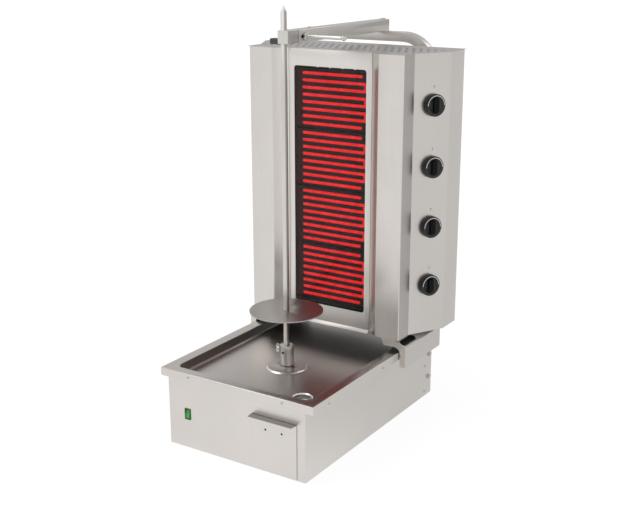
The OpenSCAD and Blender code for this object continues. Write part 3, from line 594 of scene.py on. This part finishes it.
def make_tray():
    """Pressed from a flat blank: the recess drawn down, the edge turned over."""
    front, rear = TRAY_LOW.y, TRAY_HIGH.y
    taper = 0.001
    bpy.ops.mesh.primitive_plane_add(size=1, location=(0, (front + rear) / 2, RIM_Z))
    piece = bpy.context.object
    piece.name = "pressed_tray"
    piece.scale = (2 * RIM_HALF, rear - front, 1)
    settle(piece)
    choose(piece, "FACE", lambda f: True)
    bpy.ops.mesh.inset(thickness=0.03)
    leave()
    for vertex in piece.data.vertices:
        if abs(vertex.co.x) < RIM_HALF - 0.01:
            vertex.co.x = RECESS_HALF if vertex.co.x > 0 else -RECESS_HALF
            vertex.co.y = RECESS_FRONT if vertex.co.y < 0.1 else RECESS_REAR
    centre = (RECESS_FRONT + RECESS_REAR) / 2
    extrude(piece, "FACE", lambda f: abs(f.calc_center_median().x) < 1e-4
            and near(f.calc_center_median().y, centre, 0.001), (0, 0, FLOOR_Z - RIM_Z))
    for vertex in piece.data.vertices:
        if near(vertex.co.z, FLOOR_Z):
            vertex.co.x += -taper if vertex.co.x > 0 else taper
            vertex.co.y += taper if vertex.co.y < 0.1 else -taper
    bend_edges(piece, 0.020, 8, lambda e: not near(e.verts[0].co.z, e.verts[1].co.z))
    bend_edges(piece, 0.006, 5, lambda e: lies_at(e, FLOOR_Z) and folded(e, 0.5))
    bend_edges(piece, 0.0035, 4, lambda e: lies_at(e, RIM_Z) and folded(e, 0.5))
    extrude(piece, "EDGE", lambda e: len(e.link_faces) == 1, (0, 0, -LIP_DROP))
    bend_edges(piece, FOLD_R, 4,
               lambda e: folded(e, 1.2) and (near(abs(middle(e).x), RIM_HALF)
                                             or near(middle(e).y, front)
                                             or near(middle(e).y, rear)))
    thicken(piece, TRAY_SHEET)
    drill(piece, (*DRAIN, FLOOR_Z), 0.0292, 0.02, corners=48)
    drill(piece, (0, 0, FLOOR_Z), 0.018, 0.02)
    break_edges(piece, 0.00025, 1, 60)
    # the recess walls take the painted shade; the outer lip faces take the tray steel without its
    # painted shade
    finish_faces(
        piece, tray_steel,
        (shaded_wall_steel, lambda side: abs(side.normal.z) < 0.45
         and abs(side.center.x) < RECESS_HALF + 0.0005
         and RECESS_FRONT - 0.0005 < side.center.y < RECESS_REAR + 0.0005),
        (lip_steel, lambda side: abs(side.center.x) > RIM_HALF - 0.003
         or not front + 0.003 < side.center.y < rear - 0.003))
    smooth(piece, 40)
    dress(piece, tray_steel, "base", ["drip_tray"])


def make_collar():
    """The flat collar round the spit drive, with a slanted edge and a raised neck."""
    profile = over_floor(
        (0.0178, -0.004), (0.0178, 0.0001), (0.0598, 0.0001), (0.0598, 0.0006),
        (0.0560, 0.0038), (0.0548, 0.0043), (0.0534, 0.0043), (0.0505, 0.0038),
        (0.0300, 0.0036), (0.0235, 0.0044), (0.0210, 0.0064), (0.0190, 0.0070),
        (0.0152, 0.0070), (0.0150, 0.0066), (0.0150, -0.004))
    piece = turned("spit_collar", profile, 96, closed=True)
    # the slanted outer faces of the collar take the painted highlight
    finish_faces(piece, tray_steel, (highlight_steel, lambda side: 0.3 < side.normal.z < 0.95
                                     and hypot(side.center.x, side.center.y) > 0.05))
    smooth(piece, 40)
    dress(piece, tray_steel, "base", ["spit_flange"])


def make_drain():
    """A dished ring let into the tray and a strainer cup with holes."""
    ring = turned("drain_ring", over_floor(
        (0.0180, -0.014), (0.0187, -0.014), (0.0187, -0.0044), (0.0272, -0.0044),
        (0.0290, -0.0015), (0.0306, 0.0001), (0.0306, 0.0003), (0.0293, 0.0005),
        (0.0284, 0.0003), (0.0259, -0.0026), (0.0248, -0.0030), (0.0192, -0.0033),
        (0.0182, -0.0038), (0.0180, -0.0048)), 72, closed=True)
    # the inner slope of the drain ring takes the painted highlight
    finish_faces(ring, tray_steel, (highlight_steel, lambda side: 0.3 < side.normal.z < 0.95
                                    and 0.0245 < hypot(side.center.x, side.center.y) < 0.0290))
    plate = turned("strainer_plate", [(0.0184, FLOOR_Z - 0.0138), (0.0184, FLOOR_Z - 0.0122)], 48)
    circle = 0.0105
    holes = [(circle * cos(k * pi / 3), circle * sin(k * pi / 3)) for k in range(6)] + [(0, 0)]
    for x, y in holes:
        drill(plate, (x, y, FLOOR_Z - 0.013), 0.003, 0.01, corners=20)
    piece = fuse([ring, plate], "drain_cup")
    piece.location = (*DRAIN, 0)
    settle(piece)
    smooth(piece, 40)
    dress(piece, tray_steel, "base", ["drain_strainer"])


def pan_head(radius, height, shank):
    """A pan-head screw with a cross recess, its seat at the origin."""
    piece = turned("pan_head", [
        (shank, -0.004), (shank, 0), (radius * 0.98, 0), (radius, height * 0.2),
        (radius * 0.97, height * 0.55), (radius * 0.82, height * 0.85),
        (radius * 0.55, height * 0.98), (radius * 0.2, height)], 24)
    for turn in (0.3, 0.3 + pi / 2):
        bpy.ops.mesh.primitive_cube_add(size=1, location=(0, 0, height), rotation=(0, 0, turn))
        cutter = bpy.context.object
        cutter.scale = (radius * 1.15, radius * 0.26, height * 1.1)
        settle(cutter)
        cut_with(piece, cutter)
    smooth(piece, 40)
    return piece


def screw_row(model, spots, roll, name, node):
    """Copies of a screw at (place, normal) spots, each turned on by roll."""
    heads = []
    for i, (place, normal) in enumerate(spots):
        head = model.copy()
        head.data = model.data.copy()
        bpy.context.scene.collection.objects.link(head)
        heads.append(stand(head, place, normal, i * roll))
    dress(fuse(heads, name), bright_steel, "base", [node])


def make_base_screws():
    model = pan_head(0.0042, 0.0020, 0.002)
    lip = []
    for side in (-1, 1):
        lip.append(((side * FRONT_SCREW_X, TRAY_LOW.y, RIM_Z - LIP_SCREW_DROP["front"]),
                    (0, -1, 0)))
        lip += [((side * RIM_HALF, y, RIM_Z - LIP_SCREW_DROP["side"]), (side, 0, 0))
                for y in SIDE_SCREW_Y]
    screw_row(model, lip, 0.7, "rim_screw_heads", "rim_screws")
    cover = [((side * BASE_HALF, COVER_SCREW_Y, z), (side, 0, 0))
             for side in (-1, 1) for z in COVER_SCREW_Z]
    screw_row(model, cover, 0.9, "cover_screw_heads", "cover_screws")
    bpy.data.objects.remove(model)


def make_drawer():
    piece = reworked("drawer_front", "drawer_face")
    face = BASE_FRONT - 0.003
    bend_edges(piece, 0.0012, 3, lambda e: runs_along(e, "x", 0.1) and near(middle(e).y, face)
               and near(middle(e).z, DRAWER_TOP))
    bend_edges(piece, 0.0010, 3, lambda e: e.calc_face_angle(0) > 1.2 and near(middle(e).y, face)
               and (runs_along(e, "z", 0.1) or (runs_along(e, "x", 0.1) and middle(e).z < 0.02)))
    break_edges(piece, 0.0003, 2, 50)
    smooth(piece)
    # the top face of the handle lip takes the painted shade
    finish_faces(piece, base_steel, (shaded_lip_steel, lambda side: side.normal.z > 0.7
                                     and side.center.y < face - 0.001))
    dress(piece, base_steel, "drawer", ["drawer_front"])
    rounded("fat_pan", "fat_pan_sheet", 0.0004, 2, inner_steel, "drawer")


def make_switch():
    rounded("switch_body", "switch_frame", 0.0009, 3, dark_green, "base")
    rounded("switch_rocker", "switch_cap", 0.0008, 3, green_plastic, "rocker")


# ---- spit -------------------------------------------------------------------------

def make_spit():
    spit = reworked("spit_bar", "square_spit", 0.0006)
    # the right side of the spit bar is painted darker as shade
    finish_faces(spit, bar_steel, (shaded_bar_side, lambda side: side.normal.x > 0.8))
    dress(spit, bar_steel, "spit", ["spit_bar"])
    rounded("meat_disc", "carrying_disc", 0.0008, 3, disc_steel, "disc")


def make_socket():
    """The cup that holds the bar, with the cross hole in its front, whose walls are painted dark
    as shadow.
    """
    cup = reworked("spit_socket", "spit_cup", 0.0008, 3)
    hole_r = 0.0037
    drill(cup, (0, -0.018, SOCKET_HOLE_Z), hole_r, 0.014, "Y", 24)
    # the walls of the cross hole take the painted shadow
    finish_faces(cup, bar_steel, (
        shade_steel, lambda side: side.center.y < -0.006 and abs(side.normal.y) < 0.6
        and hypot(side.center.x, side.center.z - SOCKET_HOLE_Z) < hole_r + 0.0004))
    smooth(cup)
    dress(cup, bar_steel, "drive", ["spit_socket"])


def make_wing_screws():
    for holder in ("socket", "disc"):
        rounded(holder + "_screw", holder + "_wing_screw", 0.0006, 2, bright_steel,
                holder + "_clamp")


# ---- mast and arm -------------------------------------------------------------------

def make_mast():
    rounded("spit_mast", "mast_tube", 0.0028, 4, arm_steel, "base", angle=60)


def make_arm():
    channel = reworked("arm_channel", "arm_sheet")
    bend_edges(channel, FOLD_R, 4,
               lambda e: runs_along(e, "y", 0.1) and near(middle(e).z, ARM_TOP))
    break_edges(channel, 0.0004, 1, 50)
    smooth(channel)
    dress(channel, arm_steel, "base", ["arm_channel"])
    rounded("arm_screws", "arm_button_screws", 0.0008, 3, bright_steel, "base")


def make_mast_foot():
    rounded("mast_bracket", "mast_foot_plate", 0.0008, 2, inner_steel, "base")
    rounded("mast_bolts", "mast_foot_bolts", 0.0009, 3, bright_steel, "base")


def make_holder():
    holder = reworked("spit_holder", "holder_block", 0.0009, 3)
    # the tongue behind the block takes the painted shadow, and the block's right side the painted
    # shade
    finish_faces(holder, bar_steel,
                 (shade_steel, lambda side: side.center.y > HOLDER_BLOCK_REAR),
                 (shaded_bar_side, lambda side: side.normal.x > 0.8
                  and side.center.y < HOLDER_BLOCK_REAR))
    dress(holder, bar_steel, "holder", ["spit_holder"])
    rounded("holder_grip", "holder_handle", 0.0022, 4, grip_grey, "holder")
    rounded("lock_rod", "lock_handle", 0.0010, 3, bright_steel, "lock")


# ---- tower ------------------------------------------------------------------------

def make_casings():
    """Column, side fold and slanted knob face of each side, bent from one sheet."""
    plan = [(CASING_LOW.x, GLASS_Y + RETURN_FLANGE), (CASING_LOW.x, GLASS_Y),
            (COLUMN_X - COLUMN_W, TOWER_FRONT), (COLUMN_X, TOWER_FRONT), (COLUMN_X, FOLD_Y),
            (CASING_HIGH.x, FOLD_Y + KNOB_FACE_DEPTH), (CASING_HIGH.x, TOWER_REAR),
            (CASING_HIGH.x - RETURN_FLANGE, TOWER_REAR)]
    run = (0, 0, CASING_HIGH.z - TOWER_LOW)
    for name, sign, path in (("right", 1, plan), ("left", -1, plan[::-1])):
        casing = bent_sheet("casing_sheet_" + name, [(sign * x, y, TOWER_LOW) for x, y in path],
                            run, CASING_SHEET, FOLD_R)
        # the side face of each column takes the darker steel, painted shade
        finish_faces(casing, tower_steel, (shaded_side_steel, lambda side: abs(side.normal.x) > 0.99
                                           and TOWER_FRONT < side.center.y < FOLD_Y))
        dress(casing, tower_steel, "tower", ["casing_" + name])


def make_front():
    rounded("front_panel", "panel_sheet", 0.0005, 2, panel_steel, "tower")
    rounded("ceramic_glass", "glass_plate", 0.0006, 2, glass, "tower")
    for k in range(1, 5):
        ribbon = reworked("heater_ribbon_%d" % k, "ribbon_%d" % k)
        bend_edges(ribbon, 0.0038, 5,
                   lambda e: runs_along(e, "y") and e.calc_face_angle_signed(0) > 1)
        smooth(ribbon)
        dress(ribbon, glow, "tower", ["heater_ribbon_%d" % k])


def make_knob(number, joint):
    """Turned body with a dished dial, moulded grip bar, printed arc."""
    body = turned("knob_body", [
        (0.0030, -0.024), (0.0030, 0.0004), (0.0300, 0.0004), (0.0309, 0.0012),
        (0.0310, 0.0030), (0.0309, 0.0105), (0.0305, 0.0120), (0.0298, 0.0128),
        (0.0290, 0.0130), (0.0240, 0.0130), (0.0231, 0.0126), (0.0222, 0.0116),
        (0.0206, 0.0100), (0.0194, 0.0094), (0.0180, 0.0092), (0.0010, 0.0090)], 64)
    # the dial face takes the lighter black, painted light
    finish_faces(body, black_plastic, (lit_dial_plastic, lambda side: side.center.z > 0.0042
                                       and hypot(side.center.x, side.center.y) < 0.0300))
    bar = box_piece("knob_bar", (-0.0185, -0.0083, 0.0080), (0.0185, 0.0083, 0.0158))
    bend_edges(bar, 0.0030, 5, lambda e: runs_along(e, "z"))
    break_edges(bar, 0.0009, 3, 40)
    # the grip bar takes the darker black, painted shade
    bar.data.materials.append(shaded_grip_plastic)
    arc = turned("knob_arc", [(0.0256, 0.0128), (0.0256, 0.01325), (0.0274, 0.01325),
                              (0.0274, 0.0128), (0.0256, 0.0128)], 72, closed=True)
    choose(arc, "FACE", lambda f: f.calc_center_median().x > 0.0005)
    bpy.ops.mesh.delete(type="FACE")
    leave()
    arc.data.materials.append(print_grey)
    piece = fuse([body, bar, arc], "knob_%d_moulded" % number)
    # the grip bar, along local X, stands upright, and the arc lies over it
    normal, down = Vector(joint["axis"]), Vector((0, 0, -1))
    turn = Matrix((down, normal.cross(down), normal)).transposed().to_4x4()
    piece.matrix_world = Matrix.Translation(joint["pos_m"]) @ turn
    settle(piece)
    smooth(piece, 40)
    dress(piece, black_plastic, "knob_turn_%d" % number, ["knob_%d" % number])


def make_knob_marks():
    """A plain ring and dash over each knob."""
    marks = []
    for joint in KNOBS:
        x, y, z = joint["pos_m"]
        ring = turned("mark_dot", [(0.0008, 0.0001), (0.0018, 0.0001), (0.0018, 0.0002),
                                   (0.0008, 0.0002), (0.0008, 0.0001)], 20, closed=True)
        marks.append(stand(ring, (x, y, z + 0.0515), joint["axis"]))
        dash = box_piece("mark_dash", (-0.0022, -0.0004, 0.0001), (0.0022, 0.0004, 0.0002))
        marks.append(stand(dash, (x, y, z + 0.0465), joint["axis"]))
    dress(fuse(marks, "knob_marks"), lit_dial_plastic, "tower", ())


def make_tower_sheets():
    rounded("top_grille", "top_sheet", 0.0003, 1, grille_steel, "tower")
    rounded("back_cover", "back_sheet", 0.0003, 1, tower_steel, "tower")


def under_saddle(side):
    """Whether a face is an under side or lies in the notch of a saddle; these faces take painted
    shadow.
    """
    place, way = side.center, side.normal
    return (place.z > 0.228 and abs(place.x) < 0.268 and abs(way.y) < 0.5
            and (way.z < -0.3 or (way.z > 0.3 and place.z < SADDLE_FOLD_Z + 0.0005)))


def on_saddle_web(side):
    """Whether a face is the slanted top of a saddle's web, which takes a painted matt grey shade.
    """
    place, way = side.center, side.normal
    return (not under_saddle(side) and way.z > 0.3 and abs(way.x) > 0.2 and abs(way.y) < 0.2
            and SADDLE_FOLD_Z + 0.0005 < place.z < TOWER_LOW - 0.0005)


def make_saddles():
    for name in ("left", "right"):
        piece = reworked("saddle_" + name, "saddle_sheet_" + name)
        bend_edges(piece, 0.003, 4, lambda e: runs_along(e, "y", 0.1)
                   and near(middle(e).z, SADDLE_FOLD_Z, 0.001) and abs(middle(e).x) > 0.265)
        for corner in piece.data.vertices:
            if corner.co.z > TOWER_LOW - 0.0008:
                corner.co.z -= SADDLE_SLIT
        break_edges(piece, 0.0004, 1, 50)
        smooth(piece)
        # under sides and notch in painted shadow, web tops in painted grey shade
        finish_faces(piece, side_steel, (shade_steel, under_saddle), (painted_web_shade, on_saddle_web))
        dress(piece, side_steel, "tower", ["saddle_" + name])


def finish_inner_nodes():
    """The CAD nodes that are shown as they are."""
    plain = {
        "base_floor": inner_steel, "rear_cover": base_steel, "drawer_rails": inner_steel,
        "motor_bracket": inner_steel, "gearbox": casting, "motor": motor_paint,
        "drive_shaft": bright_steel, "supply_gland": black_plastic, "slide_pads": guide_plastic,
        # the floor plate under the tower takes the painted shadow
        "saddle_bolts": bright_steel, "heater_frame": frame_board, "tower_floor": shade_steel,
        "terminal_block": terminal,
    }
    for k in range(1, 5):
        plain["heater_tray_%d" % k] = board
        plain["regulator_%d" % k] = regulator_body
    for node, material in plain.items():
        shown = frame["nodes"][node].data
        shown.materials.clear()
        shown.materials.append(material)


# ---- studio -------------------------------------------------------------------------

# what mirrors see: middle level, change towards +X, change towards +Y
FLOOR_GLOSS = (0.875, -0.025, -0.14)
SKY_GLOSS = (0.67, 0.05, -0.02)
SKY_LIGHT = 0.78         # soft light from all round
FLOOR_SEEN = 1.05        # just past white, so that the floor runs into the backdrop
LAMPS = (("key", (-2.6, -3.4, 3.2), 4.0, 34),     # name, place, width in m, power in W
         ("fill", (3.4, -1.4, 1.8), 3.0, 16),
         ("top", (-1.9, -1.0, 3.6), 1.7, 22),
         ("edge", (1.1, 2.9, 2.5), 1.4, 10))
LAMP_AIM = Vector((0, 0.1, 0.5))

# the camera as solved from the straight edges of the rim, base, panel and glass
CAMERA_PLACE = (1.5882, -2.3064, 1.3346)
CAMERA_PITCH = 16.33     # degrees below level
CAMERA_YAW = 32.64       # degrees to the left of +Y
CAMERA_LENS = 59.96      # mm on a sensor 36 mm wide


def slope(tree, vector, levels):
    """A level that changes with a direction."""
    parts = add_node(tree, "SeparateXYZ")
    tree.links.new(vector, parts.inputs[0])
    along_x = maths(tree, "MULTIPLY", parts.outputs["X"], levels[1])
    along_y = maths(tree, "MULTIPLY", parts.outputs["Y"], levels[2])
    return maths(tree, "ADD", maths(tree, "ADD", along_x, along_y), levels[0])


def kinds_of_ray(tree):
    """1 for the camera's own rays, and 1 for rays that a shiny or clear piece sends on."""
    path = add_node(tree, "LightPath").outputs
    sent_on = maths(tree, "MAXIMUM", path["Is Glossy Ray"], path["Is Transmission Ray"])
    return path["Is Camera Ray"], sent_on


def make_floor():
    """Matt white with the shadow under the part, plain white farther out."""
    bpy.ops.mesh.primitive_plane_add(size=60, location=(0, 0, -0.0005))
    floor = bpy.context.object
    floor.name = "studio_floor"
    material, tree, shader = new_material("white floor")
    tree.nodes.remove(shader)
    seen, mirrored = kinds_of_ray(tree)
    place = add_node(tree, "NewGeometry").outputs["Position"]
    flat = vector_maths(tree, "MULTIPLY", place, (1, 1, 0)).outputs[0]
    outward = vector_maths(tree, "NORMALIZE", flat).outputs[0]
    reach = vector_maths(tree, "LENGTH", flat).outputs["Value"]
    far = mapped(tree, reach, {"From Min": 0.7, "From Max": 2.6, "To Min": 0.84, "To Max": 1.0},
                 interpolation_type="SMOOTHSTEP")
    matt = add_node(tree, "BsdfDiffuse", {"Color": (0.9, 0.9, 0.9, 1)})
    light = add_node(tree, "Emission")
    tree.links.new(maths(tree, "ADD", maths(tree, "MULTIPLY", seen, FLOOR_SEEN),
                         maths(tree, "MULTIPLY", mirrored, slope(tree, outward, FLOOR_GLOSS))),
                   light.inputs["Strength"])
    mix = add_node(tree, "MixShader")
    tree.links.new(maths(tree, "ADD", maths(tree, "MULTIPLY", seen, far), mirrored),
                   mix.inputs["Fac"])
    tree.links.new(matt.outputs["BSDF"], mix.inputs[1])
    tree.links.new(light.outputs["Emission"], mix.inputs[2])
    tree.links.new(mix.outputs["Shader"], tree.nodes["Material Output"].inputs["Surface"])
    floor.data.materials.append(material)


def make_sky():
    """White behind the part, grey in mirrors, and soft light from all round."""
    world = bpy.data.worlds.new("studio")
    bpy.context.scene.world = world
    world.use_nodes = True
    tree = world.node_tree
    seen, mirrored = kinds_of_ray(tree)
    way = add_node(tree, "TexCoord").outputs["Generated"]
    shown = maths(tree, "ADD", seen,
                  maths(tree, "MULTIPLY", mirrored, slope(tree, way, SKY_GLOSS)))
    unseen = maths(tree, "SUBTRACT", 1.0, maths(tree, "MAXIMUM", seen, mirrored))
    back = tree.nodes["Background"]
    back.inputs["Color"].default_value = (1, 1, 1, 1)
    tree.links.new(maths(tree, "ADD", shown, maths(tree, "MULTIPLY", unseen, SKY_LIGHT)),
                   back.inputs["Strength"])


def make_lamps():
    for name, place, size, power in LAMPS:
        light = bpy.data.lights.new(name, "AREA")
        light.size = size
        light.energy = power
        lamp = bpy.data.objects.new(name, light)
        bpy.context.scene.collection.objects.link(lamp)
        lamp.location = place
        lamp.rotation_euler = (LAMP_AIM - lamp.location).to_track_quat("-Z", "Y").to_euler()


def make_camera():
    view = bpy.data.cameras.new("camera")
    view.lens = CAMERA_LENS
    view.sensor_width = 36
    camera = bpy.data.objects.new("camera", view)
    bpy.context.scene.collection.objects.link(camera)
    camera.location = CAMERA_PLACE
    camera.rotation_euler = (radians(90 - CAMERA_PITCH), 0, radians(CAMERA_YAW))
    bpy.context.scene.camera = camera
    bpy.context.scene.view_settings.view_transform = "Standard"


# ---- the part, then the studio ---------------------------------------------------------

make_housing()
make_tray()
make_collar()
make_drain()
make_base_screws()
make_drawer()
make_switch()
make_spit()
make_socket()
make_wing_screws()
make_mast()
make_arm()
make_mast_foot()
make_holder()
make_casings()
make_front()
for number, joint in enumerate(KNOBS, 1):
    make_knob(number, joint)
make_knob_marks()
make_tower_sheets()
make_saddles()
finish_inner_nodes()

make_floor()
make_sky()
make_lamps()
make_camera()
